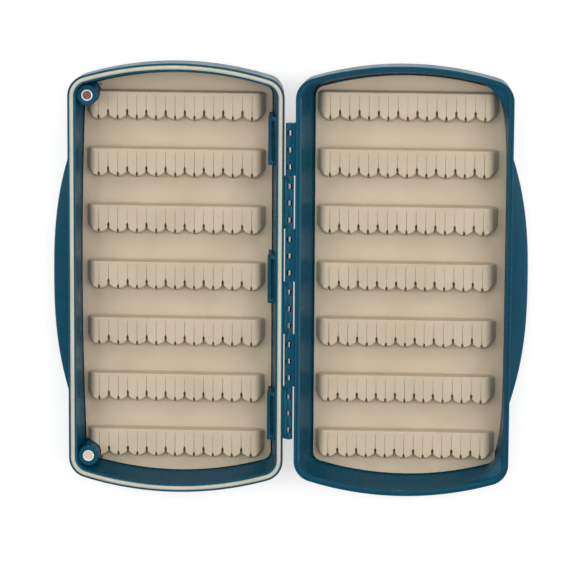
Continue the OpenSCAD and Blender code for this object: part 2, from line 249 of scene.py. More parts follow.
def rounded_box(low: Spot, high: Spot, radius: float, steps: int = 3) -> Skin:
    """Makes a block with all its edges rounded.

    Args:
        low: Its lowest corner.
        high: Its highest corner.
        radius: Radius of the edges.
        steps: Steps of the rounding.

    Returns:
        The block as a new mesh.
    """
    bm = prism([(low[0], low[1]), (high[0], low[1]), (high[0], high[1]), (low[0], high[1])], low[2], high[2])
    bmesh.ops.bevel(bm, geom=list(bm.edges), offset=radius, segments=steps, profile=0.5, affect="EDGES")
    return bm


def settle(piece: Piece) -> None:
    """Applies a piece's modifiers to its mesh.

    Args:
        piece: The object that is changed.
    """
    graph = bpy.context.evaluated_depsgraph_get()
    graph.update()
    mesh = bpy.data.meshes.new_from_object(piece.evaluated_get(graph))
    old = piece.data
    mesh.name = old.name
    piece.modifiers.clear()
    piece.data = mesh
    bpy.data.meshes.remove(old)


def carve(piece: Piece, cutters: Sequence[Piece]) -> None:
    """Cuts closed objects out of a piece, and removes them.

    Args:
        piece: The object that is changed.
        cutters: The objects that it is cut with.
    """
    for cutter in cutters:
        tool = piece.modifiers.new("cut", "BOOLEAN")
        tool.operation = "DIFFERENCE"
        tool.solver = "EXACT"
        tool.object = cutter
        settle(piece)
        old = cutter.data
        bpy.data.objects.remove(cutter)
        bpy.data.meshes.remove(old)


def ease(piece: Piece, width: float, angle: float, steps: int, sharp: float = 45.0) -> None:
    """Rounds the piece's creases with a bevel.

    Args:
        piece: The object that is changed.
        width: Width of the rounding in millimetres.
        angle: Least angle of a crease in degrees.
        steps: Steps of the rounding.
        sharp: Angle in degrees above which an edge still shades as a crease.
    """
    bevel = piece.modifiers.new("edge", "BEVEL")
    bevel.width = width * MM
    bevel.segments = steps
    bevel.limit_method = "ANGLE"
    bevel.angle_limit = math.radians(angle)
    settle(piece)
    shade(piece.data, sharp)


def border(piece: Piece, width: float) -> None:
    """Sets a border into the largest upward face, which keeps the paler edges, wear and painted highlight, off its
    middle.

    Args:
        piece: The object that is changed.
        width: Width of the border in millimetres.
    """
    bm = bmesh.new()
    bm.from_mesh(piece.data)
    face = max(bm.faces, key=lambda f: f.calc_area() * f.normal.z)
    bmesh.ops.inset_region(bm, faces=[face], thickness=width * MM, use_even_offset=True)
    bm.to_mesh(piece.data)
    bm.free()


def even_shading(piece: Piece, weight: int = 60) -> None:
    """Lets large flat faces rule the shading of the small ones at their edges.

    Args:
        piece: The object that is changed.
        weight: How strongly they do, where 50 is neutral.
    """
    tool = piece.modifiers.new("even", "WEIGHTED_NORMAL")
    tool.keep_sharp = True
    tool.weight = weight


def place(piece: Piece, half: Half, slot: Slot, finish: "Finish", *nodes: str) -> None:
    """Dresses a finished piece, hands it to the frame and reports it.

    Args:
        piece: The object.
        half: The half whose body it rides on.
        slot: Its material slot in the record.
        finish: The finish that it gets.
        *nodes: CAD nodes that it stands for.
    """
    piece.data.materials.clear()
    piece.data.materials.append(finish.material())
    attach(piece, half.value)
    if nodes:
        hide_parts(*nodes)
    LOG.info("%s: %d faces on %s", piece.name, len(piece.data.polygons), half.value)


# ---- Finishes ----


class NodeBench:
    """Builds one material's node tree step by step, working in object coordinates in metres."""

    def __init__(self, name: str) -> None:
        """Starts a material with its shader and coordinates.

        Args:
            name: Name of the material.
        """
        self.material = bpy.data.materials.new(name)
        self.material.use_nodes = True
        self.tree = self.material.node_tree
        self.tree.nodes.clear()
        self.shader = self.tree.nodes.new("ShaderNodeBsdfPrincipled")
        out = self.tree.nodes.new("ShaderNodeOutputMaterial")
        self.tree.links.new(self.shader.outputs["BSDF"], out.inputs["Surface"])
        self.coords = self.tree.nodes.new("ShaderNodeTexCoord").outputs["Object"]

    def noise(self, scale: float, detail: float = 3.0, stretch: Spot = (1, 1, 1), rough: float = 0.5) -> Socket:
        """Adds a noise.

        Args:
            scale: Cells to the metre.
            detail: Octaves.
            stretch: Factor on each axis.
            rough: Weight of the finer octaves.

        Returns:
            The noise's value.
        """
        mapping = self.tree.nodes.new("ShaderNodeMapping")
        mapping.inputs["Scale"].default_value = stretch
        self.tree.links.new(self.coords, mapping.inputs["Vector"])
        node = self.tree.nodes.new("ShaderNodeTexNoise")
        node.inputs["Scale"].default_value = scale
        node.inputs["Detail"].default_value = detail
        node.inputs["Roughness"].default_value = rough
        self.tree.links.new(mapping.outputs["Vector"], node.inputs["Vector"])
        return node.outputs["Fac"]

    def spread(self, value: Socket, low: float = 0.0, high: float = 1.0, start: float = 0.35,
               end: float = 0.65) -> Socket:
        """Maps a value to another range.

        Args:
            value: The value.
            low: Result where the value is start or less.
            high: Result where it is end or more.
            start: Low end of the value's own range.
            end: High end of that range.

        Returns:
            The mapped value.
        """
        node = self.tree.nodes.new("ShaderNodeMapRange")
        for key, number in (("From Min", start), ("From Max", end), ("To Min", low), ("To Max", high)):
            node.inputs[key].default_value = number
        self.tree.links.new(value, node.inputs["Value"])
        return node.outputs["Result"]

    def blend(self, factor: Socket, under: Spot | Socket, top: Spot) -> Socket:
        """Lays a colour over another.

        Args:
            factor: How much of the top colour shows.
            under: The colour below, plain or from other nodes.
            top: The colour on top.

        Returns:
            The mixed colour.
        """
        node = self.tree.nodes.new("ShaderNodeMix")
        node.data_type = "RGBA"
        if isinstance(under, tuple):
            node.inputs["A"].default_value = (*under, 1)
        else:
            self.tree.links.new(under, node.inputs["A"])
        node.inputs["B"].default_value = (*top, 1)
        self.tree.links.new(factor, node.inputs["Factor"])
        return node.outputs["Result"]

    def add(self, first: Socket, second: Socket, share: float) -> Socket:
        """Adds a share of one value to another.

        Args:
            first: The value that counts in full.
            second: The value that is added.
            share: How much of the second value counts.

        Returns:
            The sum.
        """
        node = self.tree.nodes.new("ShaderNodeMath")
        node.operation = "MULTIPLY_ADD"
        node.inputs[1].default_value = share
        self.tree.links.new(second, node.inputs[0])
        self.tree.links.new(first, node.inputs[2])
        return node.outputs["Value"]

    def bump(self, height: Socket, depth: float) -> None:
        """Raises the surface.

        Args:
            height: Height of the skin, from 0 to 1.
            depth: What a height of 1 stands for, in millimetres.
        """
        node = self.tree.nodes.new("ShaderNodeBump")
        node.inputs["Distance"].default_value = depth * MM
        self.tree.links.new(height, node.inputs["Height"])
        self.tree.links.new(node.outputs["Normal"], self.shader.inputs["Normal"])

    def wire(self, value: Socket, socket: str) -> None:
        """Leads a value into one of the shader's sockets."""
        self.tree.links.new(value, self.shader.inputs[socket])

    def fix(self, **sockets: float) -> None:
        """Sets plain numbers on the shader, with underscores for the spaces in socket names."""
        for key, number in sockets.items():
            self.shader.inputs[key.replace("_", " ")].default_value = number

    def edges(self) -> Socket:
        """Factor of convex edges, from the shape's own curvature, which the finishes paint paler as wear and as a
        painted highlight.
        """
        node = self.tree.nodes.new("ShaderNodeNewGeometry")
        return self.spread(node.outputs["Pointiness"], start=0.56, end=0.68)


@dataclass(frozen=True)
class Finish:
    """A finish that is built once and shared by its pieces.

    Args:
        name: Name of the material.
        colour: Main colour, linear.
        shade: Second colour that it drifts to, linear.
        rough: Lowest and highest roughness.
    """

    name: str
    colour: Spot
    shade: Spot
    rough: Flat

    def material(self) -> bpy.types.Material:
        """Gives the material, and builds it at the first call.

        Returns:
            The material.
        """
        found = bpy.data.materials.get(self.name)
        if found is None:
            bench = NodeBench(self.name)
            self.build(bench)
            found = bench.material
        return found

    def build(self, bench: NodeBench) -> None:
        """Draws the finish on the bench."""
        raise NotImplementedError


@dataclass(frozen=True)
class MouldedPlastic(Finish):
    """Satin moulded ABS with faint flow marks, handling scuffs, and edges painted paler, partly as wear and partly as
    a painted highlight.

    Args:
        wear_and_highlight: Colour of the paler edges, partly wear and partly a painted highlight, linear.
        scuffed: Roughness that a scuff adds.
        skin_depth: Depth of the moulded skin in millimetres.
        gloss: Level of the plain reflection.
    """

    wear_and_highlight: Spot = (0.02, 0.12, 0.18)
    scuffed: float = 0.06
    skin_depth: float = 0.012
    gloss: float = 0.1

    def build(self, bench: NodeBench) -> None:
        """Draws drift, scuffs and paler edges (wear and painted highlight) over a fine moulded skin.

        Args:
            bench: The bench of the new material.
        """
        drift = bench.spread(bench.noise(scale=14, detail=2), start=0.25, end=0.75)
        marks = bench.noise(scale=900, detail=5, stretch=(1, 0.06, 1), rough=0.7)
        scuffs = bench.spread(marks, start=0.58, end=0.72)
        skin = bench.noise(scale=5200, detail=2)
        # Convex edges get a paler colour: partly wear, partly a painted highlight along the rims.
        edge = bench.edges()
        colour = bench.blend(drift, self.colour, self.shade)
        bench.wire(bench.blend(edge, colour, self.wear_and_highlight), "Base Color")
        patches = bench.spread(bench.noise(scale=160, detail=5), *self.rough)
        bench.wire(bench.add(patches, scuffs, self.scuffed), "Roughness")
        bench.bump(bench.add(skin, scuffs, share=0.5), self.skin_depth)
        bench.fix(IOR=1.5, Specular_IOR_Level=self.gloss)


@dataclass(frozen=True)
class CastSilicone(Finish):
    """Matt silicone, slightly translucent, with cloudy tint, fine grain and paler edges, partly rubbed and partly a
    painted highlight.

    Args:
        grain: Depth of the grain in millimetres.
        soft: Share of the light that goes into the silicone.
        rub_and_highlight: How much paler the edges are, as rubbing and as a painted highlight.
        glow: How far light of each colour spreads inside, against the other colours.
    """

    grain: float = 0.03
    soft: float = 0.12
    rub_and_highlight: float = 1.12
    glow: Spot = (1.0, 0.75, 0.55)

    def build(self, bench: NodeBench) -> None:
        """Draws cloudy tint, grain and paler edges, rubbed and painted highlight.

        Args:
            bench: The bench of the new material.
        """
        cloud = bench.spread(bench.noise(scale=60, detail=5))
        grain = bench.noise(scale=3800, detail=4, rough=0.65)
        colour = bench.blend(cloud, self.colour, self.shade)
        # Convex edges are painted paler: partly rubbed, partly a painted highlight where the edge catches light.
        paler = tuple(min(1.0, c * self.rub_and_highlight) for c in self.colour)
        bench.wire(bench.blend(bench.edges(), colour, paler), "Base Color")
        bench.wire(bench.spread(grain, *self.rough), "Roughness")
        bench.bump(bench.add(grain, bench.noise(scale=420, detail=3), share=0.9), self.grain)
        bench.fix(IOR=1.41, Specular_IOR_Level=0.3, Subsurface_Weight=self.soft, Subsurface_Scale=0.002,
                  Sheen_Weight=0.05, Sheen_Roughness=0.5)
        bench.shader.inputs["Subsurface Radius"].default_value = self.glow


@dataclass(frozen=True)
class BrightMetal(Finish):
    """Polished metal with hairlines along one axis.

    Args:
        lines: Stretch of the hairlines on each axis.
        metal: Share of the bare metal, where the rest is a dull skin.
        depth: Depth of the hairlines in millimetres.
    """

    lines: Spot = (1, 0.02, 1)
    metal: float = 1.0
    depth: float = 0.004

    def build(self, bench: NodeBench) -> None:
        """Draws hairlines, smudges and a little tarnish.

        Args:
            bench: The bench of the new material.
        """
        hair = bench.noise(scale=7000, detail=3, stretch=self.lines, rough=0.6)
        smudge = bench.spread(bench.noise(scale=700, detail=4))
        bench.wire(bench.blend(smudge, self.colour, self.shade), "Base Color")
        dull = bench.add(hair, smudge, share=0.4)
        bench.wire(bench.spread(dull, *self.rough, start=0.4, end=1.0), "Roughness")
        bench.bump(hair, self.depth)
        bench.fix(Metallic=self.metal)


# Hairlines of discs and cups run round their sides.
DISC_LINES = (1, 1, 0.1)

SHELL_FINISH = MouldedPlastic("satin_shell", (0.001, 0.062, 0.106), (0.001, 0.054, 0.093), (0.24, 0.36))
MAT_FINISH = CastSilicone("tan_silicone", (0.52, 0.43, 0.32), (0.48, 0.395, 0.29), (0.55, 0.75))
GASKET_FINISH = CastSilicone("pale_silicone", (0.5, 0.5, 0.42), (0.45, 0.445, 0.37), (0.38, 0.55),
                             grain=0.012, soft=0.2)
# Steel darker than bare steel: its low colour paints the shade and dark reflections of the pin inside its windows.
STEEL_FINISH = BrightMetal("grey_steel", (0.22, 0.22, 0.23), (0.14, 0.14, 0.15), (0.16, 0.3))
# Pale copy of the disc's finish for the lower magnet. Its warm lightness is a painted reflection, and the lid's
# hidden magnets share it.
NICKEL_FINISH = BrightMetal("nickel_plate", (0.68, 0.52, 0.43), (0.58, 0.42, 0.34), (0.14, 0.32),
                            lines=DISC_LINES, metal=0.35)
# The cup rim is real, but its near-white, only partly metallic colour is a painted highlight ring round each magnet.
CUP_HIGHLIGHT_FINISH = BrightMetal("cup_painted_highlight", (0.86, 0.86, 0.85), (0.74, 0.74, 0.74), (0.2, 0.4),
                         lines=DISC_LINES, metal=0.35)
# Dark copy of the disc's finish for the upper magnet. Its darkness is a painted darker reflection, not tarnish.
DARK_REFLECTION_NICKEL = BrightMetal("nickel_painted_dark_reflection", (0.16, 0.09, 0.075), (0.1, 0.055, 0.05), (0.2, 0.4),
                             lines=DISC_LINES)


# ---- Outline shared by the shells, the gasket and the mats ----


@dataclass(frozen=True)
class HalfPlan:
    """Outline of a half at any inset, as the CAD draws it but with finer steps.

    In the methods, th, to and te are the insets at the hinge side, at the grip side and at the arched ends, and
    rc is the radius of a corner.

    Args:
        width: Width of a half at the rim, without its grip.
        length: Length of a half at the rim, from arch to arch.
        start: Distance of the rim from the hinge's axis.
        arc_r: Radius of the arched ends at the rim.
        corner_r: Radius of the rim's corners.
        grip_half: Half of the grip's length.
        grip_power: Fullness of the grip's bow.
        bow_reach: Share of the straight side that a bow from corner to corner takes up.
        side_steps: Spans along the grip side.
        corner_steps: Spans round a corner.
        arc_steps: Spans along an arched end.
    """

    width: float = 90.0
    length: float = 182.0
    start: float = 2.25
    arc_r: float = 135.0
    corner_r: float = 9.0
    grip_half: float = 53.5
    grip_power: float = 2.5
    bow_reach: float = 0.98
    side_steps: int = 80
    corner_steps: int = 14
    arc_steps: int = 30

    def half_width(self, th: float, to: float) -> float:
        """Half of the width that is left by the insets at the hinge and grip side."""
        return (self.width - th - to) / 2

    def mid_u(self, th: float, to: float) -> float:
        """Middle of that width."""
        return self.start + (self.width + th - to) / 2

    def arc_v(self) -> float:
        """Centre of the end arc along the hinge, which is the same at every inset."""
        return self.length / 2 - self.arc_r

    def tilt(self, th: float, to: float, te: float, rc: float) -> float:
        """Angle of the end arc from its middle to where the corner takes over."""
        return math.asin((self.half_width(th, to) - rc) / (self.arc_r - te - rc))

    def corner(self, th: float, to: float, te: float, rc: float) -> Flat:
        """Finds the corner at the grip side.

        Args:
            th: Inset at the hinge side.
            to: Inset at the grip side.
            te: Inset at the arched ends.
            rc: Radius of the corner.

        Returns:
            Centre of the corner's arc.
        """
        cu = self.half_width(th, to) - rc
        reach = self.arc_r - te - rc
        return self.mid_u(th, to) + cu, self.arc_v() + math.sqrt(reach * reach - cu * cu)

    def outline(self, th: float, to: float, te: float, rg: float, rh: float, bow: float = 0.0,
                power: float = 0.0) -> list[Flat]:
        """Draws the outline anticlockwise.

        Args:
            th: Inset at the hinge side.
            to: Inset at the grip side.
            te: Inset at the arched ends.
            rg: Radius of the corners at the grip side.
            rh: Radius of the corners at the hinge side.
            bow: How far the grip side stands out in its middle.
            power: Fullness of a bow from corner to corner. 0 gives the grip's own bow and length.

        Returns:
            Points of u and v. Their number doesn't depend on the sizes.
        """
        grip_tilt, hinge_tilt = self.tilt(th, to, te, rg), self.tilt(th, to, te, rh)
        grip, far = self.corner(th, to, te, rg), self.corner(th, to, te, rh)
        mid = self.mid_u(th, to)
        near = (2 * mid - far[0], far[1])
        upper = (arc(grip, rg, 0, QUARTER - grip_tilt, self.corner_steps)
                 + arc((mid, self.arc_v()), self.arc_r - te, QUARTER - grip_tilt, QUARTER + hinge_tilt,
                       self.arc_steps)[1:-1]
                 + arc(near, rh, QUARTER + hinge_tilt, math.pi, self.corner_steps))
        side_u = self.start + self.width - to
        half = self.bow_reach * grip[1] if power else self.grip_half
        side = [(side_u + bow * (1 - abs(share) ** (power or self.grip_power)), half * share)
                for share in (2 * i / self.side_steps - 1 for i in range(self.side_steps + 1))]
        return side + upper + [(u, -v) for u, v in reversed(upper)]

    def even(self, t: float, bow: float = 0.0) -> list[Flat]:
        """Outline at the same inset all round, with the grip's bow where there is one."""
        return self.outline(t, t, t, self.corner_r - t, self.corner_r - t, bow)

    def corner_angle(self) -> float:
        """Direction of a rim corner's middle."""
        return (QUARTER - self.tilt(0, 0, 0, self.corner_r)) / 2

    def shoulder(self, th: float, to: float, te: float, rc: float, needed: float) -> float:
        """Finds the radius that keeps a grip corner solid behind its inner wall.

        Args:
            th: Inset at the hinge side.
            to: Inset at the grip side.
            te: Inset at the arched ends.
            rc: Radius that the corner has without this.
            needed: Depth that stays solid on the corner's diagonal.

        Returns:
            The radius, which is rc where the corner is deep enough.
        """
        a = self.corner_angle()
        cu, cv = self.corner(th, to, te, rc)
        ru, rv = self.corner(0, 0, 0, self.corner_r)
        depth = self.corner_r - math.hypot(cu + rc * math.cos(a) - ru, cv + rc * math.sin(a) - rv)
        return rc + max(0.0, needed - depth) / (1 / math.cos(a) - 1)


PLAN = HalfPlan()


# ---- Shells ----


@dataclass(frozen=True)
class Floor:
    """The flat floor of a tray.

    Args:
        hinge: Inset of its outline from the rim at the hinge side.
        grip: Inset at the grip side.
        end: Inset at the arched ends.
        bow: How far its grip side stands out in the middle.
        power: Fullness of that bow.
    """

    hinge: float
    grip: float
    end: float
    bow: float
    power: float

    def outline(self, extra: float) -> list[Flat]:
        """The floor's outline, set in further by extra."""
        return PLAN.outline(self.hinge + extra, self.grip + extra, self.end + extra, FLOOR_CORNER, FLOOR_CORNER,
                            self.bow, self.power)


BASE_FLOOR = Floor(hinge=5.8, grip=5.9, end=5.8, bow=1.5, power=2)
LID_FLOOR = Floor(hinge=7.4, grip=5.5, end=5.8, bow=2.9, power=8)

# Rings up a shell's side, as shares of the way from the back's rounding to the grip's edge.
SIDE_SHARES = (0.12, 0.35, 0.6, 0.85, 1.0)

# Heights of the rings where the grip's ledge runs out into the wall above it, and how far they stand out.
LEDGE_FOOT: tuple[Flat, ...] = ((13.38, 0.5), (13.52, 0.2), (13.75, 0.05), (14.1, 0.0), (16.5, 0.0))

# Foot of the lid's lip, as insets from the lip and rises from the rim.
LID_STEP: tuple[Flat, ...] = ((0.0, 0.12), (0.04, 0.03), (0.12, 0.0))


@dataclass
class Shell:
    """One moulded half: tray, finger grip and rim. Its knuckles are the hinge's.

    Args:
        half: The half that it is.
        floor: Its floor.
        rim_w: Width of the rim.
        rim_top: Height of the rim inside the lip.
        lip_soft: Rounding of the lip's outer edge.
        wall_soft: Rounding at the inner wall's top.
        needed: Depth that stays solid behind the inner corners, for a hidden magnet.
        draft: Lean of the outer wall over its whole height.
        back_r: Rounding round the back.
        back_margin: Width of a flat border inside that rounding.
        swell: How far the grip stands out.
        back_share: Share of that at the back.
        edge_z: Height at which the grip's edge starts to round over.
        edge_r: Radius of that edge.
        ledge_z: Height at which the ledge over the grip meets the wall.
        lip_w: Width of the lip.
        lip_edge: Rounding of the lip's inner edge.
        groove_w: Width of the base's groove.
        groove_z: Height of its bottom.
        groove_edge: Rounding of its inner edge.
        wall_steps: Spans down the inner wall.
        crowding: How much closer those spans are at the top.
        sweep_in: How late on its way down the inner wall turns in to the floor.
        shoulder_run: Depth below the rim at which the solid corner is complete.
    """

    half: Half
    floor: Floor
    rim_w: float
    rim_top: float
    lip_soft: float
    wall_soft: float
    needed: float = 0.0
    draft: float = 1.4
    back_r: float = 2.5
    back_margin: float = 1.2
    swell: float = 7.3263
    back_share: float = 0.85
    edge_z: float = 10.5
    edge_r: float = 2.0
    ledge_z: float = 13.5
    lip_w: float = 0.75
    lip_edge: float = 0.14
    groove_w: float = 1.9
    groove_z: float = 17.4
    groove_edge: float = 0.08
    wall_steps: int = 26
    crowding: float = 1.15
    sweep_in: float = 1.3
    shoulder_run: float = 3.5

    def inset(self, z: float) -> float:
        """Lean of the outer wall at a height."""
        return self.draft * (1 - z / RIM)

    def wall(self, z: float, bow: float, extra: float = 0.0) -> Ring:
        """Ring of the outer wall at a height."""
        return at(PLAN.even(self.inset(z) + extra, bow), z)

    def outer(self) -> list[Ring]:
        """Draws the outside.

        Returns:
            Rings from the back up to just under the rim.
        """
        low_bow = self.swell * self.back_share
        rings = [self.wall(0.0, low_bow, self.back_r + self.back_margin + self.inset(self.back_r) - self.inset(0))]
        for z, rounded in fillet(self.back_r, steps=8):
            rings.append(self.wall(z, low_bow, self.inset(self.back_r) - self.inset(z) + rounded))
        for share in SIDE_SHARES:
            z = self.back_r + (self.edge_z - self.back_r) * share
            rings.append(self.wall(z, low_bow + (self.swell - low_bow) * share))
        for a in sweep(QUARTER, steps=8)[1:]:
            rings.append(self.wall(self.edge_z + self.edge_r * math.sin(a),
                                   self.swell - self.edge_r * (1 - math.cos(a))))
        # Rings over the ledge, by how far they still stand out.
        start, ledge = self.edge_z + self.edge_r, self.swell - self.edge_r
        for bow in (ledge * 0.7, ledge * 0.35, 1.0):
            rings.append(self.wall(start + (self.ledge_z - start) * (1 - bow / ledge), bow))
        return rings + [self.wall(z, bow) for z, bow in LEDGE_FOOT]

    def lip(self) -> list[Ring]:
        """Draws the outer lip.

        Returns:
            Rings over the lip, from the outside in.
        """
        rings = [at(PLAN.even(self.inset(RIM - drop) + inset), RIM - drop)
                 for inset, drop in fillet(self.lip_soft, steps=6)]
        return rings + [at(PLAN.even(self.lip_w - inset), RIM - drop)
                        for inset, drop in reversed(fillet(self.lip_edge, steps=3))]

    def rim(self) -> list[Ring]:
        """Draws the lid's step, or the base's groove.

        Returns:
            Rings from the lip to the inner wall's top.
        """
        if self.half is Half.LID:
            return [at(PLAN.even(self.lip_w + inset), self.rim_top + rise) for inset, rise in LID_STEP]
        far = self.lip_w + self.groove_w
        rings = [at(PLAN.even(self.lip_w), self.groove_z), at(PLAN.even(far), self.groove_z)]
        return rings + [at(PLAN.even(far + inset), RIM - drop) for inset, drop in fillet(self.groove_edge, steps=3)]

    def inner(self) -> list[Ring]:
        """Draws the inside.

        Returns:
            Rings down the inner wall to the floor, rounded over at the top.
        """
        rings = [self.inner_ring(self.rim_top - drop, 0.0, -inset)
                 for inset, drop in reversed(fillet(self.wall_soft, steps=7))]
        start = self.rim_top - self.wall_soft
        for i in range(1, self.wall_steps + 1):
            f = (i / self.wall_steps) ** self.crowding
            rings.append(self.inner_ring(start - f * (start - FLOOR), f, 0.0))
        return rings

    def inner_ring(self, z: float, f: float, extra: float) -> Ring:
        """Draws one ring of the inner wall.

        Args:
            z: Its height.
            f: Its share of the way from the rim to the floor.
            extra: How much further in it lies.

        Returns:
            The ring.
        """
        g = f ** self.sweep_in
        th, to, te = (self.rim_w + (inset - self.rim_w) * g + extra
                      for inset in (self.floor.hinge, self.floor.grip, self.floor.end))
        rc = max(PLAN.corner_r - te, FLOOR_CORNER)
        needed = self.needed * eased((RIM - z) / self.shoulder_run)
        rg = PLAN.shoulder(th, to, te, rc, needed)
        return at(PLAN.outline(th, to, te, rg, rc, self.floor.bow * g, self.floor.power), z)

    def dress(self) -> None:
        """Makes the tray and places it."""
        skin = loft(self.outer() + self.lip() + self.rim() + self.inner())
        tray = to_object(f"{self.half.value}_tray", skin, self.half.side, sharp=38)
        even_shading(tray)
        place(tray, self.half, Slot.SHELL, SHELL_FINISH, f"{self.half.value}_shell")


@dataclass
class Hinge:
    """The knuckles and the pin through them.

    Args:
        axis_z: Height of the pin.
        barrel: Outer radius of the knuckles.
        bore: Radius of their bore.
        pin_r: Radius of the pin.
        length: Length of all knuckles together.
        count: Number of knuckles, which the lid and the base carry in turn from the +Y end.
        gap: Gap between two knuckles.
        web_u: Where the web leaves the barrel's underside.
        web: Other corners of the web to the shell, by distance and height from the pin's axis.
        window: Width and length of a window over the pin.
        window_h: Height of the window's cutter over the axis.
        window_r: Rounding of a window's corners.
        pitch: Distance between two windows.
        soft: Rounding of the knuckles' edges.
        pin_short: How far the pin ends inside the last knuckle's end.
        pin_tip: Radii of the pin's eased end, with their distances from it.
        pin_full: Distances from the end of two rings at the pin's full radius.
    """

    axis_z: float = 19.1
    barrel: float = 1.75
    bore: float = 0.85
    pin_r: float = 0.8
    length: float = 134.0
    count: int = 6
    gap: float = 0.3
    web_u: float = 0.9
    web: tuple[Flat, ...] = ((2.7, -2.75), (2.7, -0.5), (2.25, -0.3))
    window: Flat = (2.2, 2.3)
    window_h: float = 4.0
    window_r: float = 0.3
    pitch: float = 7.1
    soft: float = 0.16
    pin_short: float = 0.4
    pin_tip: tuple[Flat, ...] = ((0.45, 0.0), (0.68, 0.05))
    pin_full: Flat = (0.25, 0.6)

    def owner(self, k: int) -> Half:
        """Half that carries knuckle k."""
        return Half.LID if k % 2 == 0 else Half.BASE

    def knuckle(self, k: int) -> Piece:
        """Makes a knuckle with its bore and windows.

        Args:
            k: Its number from 0, counted from the +Y end.

        Returns:
            The knuckle.
        """
        half, step = self.owner(k), self.length / self.count
        v = self.length / 2 - (k + 0.5) * step
        reach = (step - self.gap) / 2
        round_side = arc((0, 0), self.barrel, QUARTER, math.pi * 1.5, steps=24)
        profile = [(u, self.axis_z + h) for u, h in (*round_side, (self.web_u, -self.barrel), *self.web)]
        body = to_object(f"{half.value}_knuckle_{k + 1}", prism(profile, v - reach, v + reach, along_y=True),
                         half.side)
        bore = [(u, self.axis_z + h) for u, h in arc((0, 0), self.bore, 0, TURN, steps=48)[:-1]]
        carve(body, [to_object("bore", prism(bore, v - step, v + step, along_y=True))])
        w, l = self.window[0] / 2, self.window[1] / 2
        for mid in (v - self.pitch, v, v + self.pitch):
            block = rounded_box((-w, mid - l, self.axis_z), (w, mid + l, self.axis_z + self.window_h), self.window_r)
            carve(body, [to_object("window", block)])
        ease(body, self.soft, angle=35, steps=3)
        even_shading(body)
        return body

    def pin(self) -> Piece:
        """Makes the steel pin with eased ends.

        Returns:
            The pin.
        """
        end = self.length / 2 - self.pin_short
        near = [(r, h - end) for r, h in self.pin_tip] + [(self.pin_r, h - end) for h in self.pin_full]
        profile = near + [(r, -h) for r, h in reversed(near)]
        return to_object("hinge_wire", lathe(profile, (0, 0, self.axis_z), turns=40, along_y=True))

    def dress(self) -> None:
        """Makes and places the knuckles and the pin."""
        for k in range(self.count):
            place(self.knuckle(k), self.owner(k), Slot.SHELL, SHELL_FINISH)
        place(self.pin(), Half.BASE, Slot.STEEL, STEEL_FINISH, "hinge_pin")


@dataclass
class Seal:
    """The gasket, a D-shaped bead that stands in the base's groove.

    Args:
        near: Inset of its outer side from the rim's outline.
        far: Inset of its inner side.
        low: Height of its foot.
        high: Height of its crown.
    """

    near: float = 0.85
    far: float = 2.55
    low: float = 17.42
    high: float = 19.7

    def dress(self) -> None:
        """Makes the bead and places it."""
        r, mid = (self.far - self.near) / 2, (self.near + self.far) / 2
        top = self.high - r
        waist = (self.low + top) / 2
        profile = [(self.far, self.low), (self.far, waist), *arc((mid, top), r, 0, math.pi, steps=14),
                   (self.near, waist), (self.near, self.low)]
        bead = loft([at(PLAN.even(t), z) for t, z in profile], closed=True)
        place(to_object("seal_bead", bead, Half.BASE.side, sharp=60), Half.BASE, Slot.GASKET, GASKET_FINISH,
              "rim_gasket")


# ---- Magnets and their posts ----


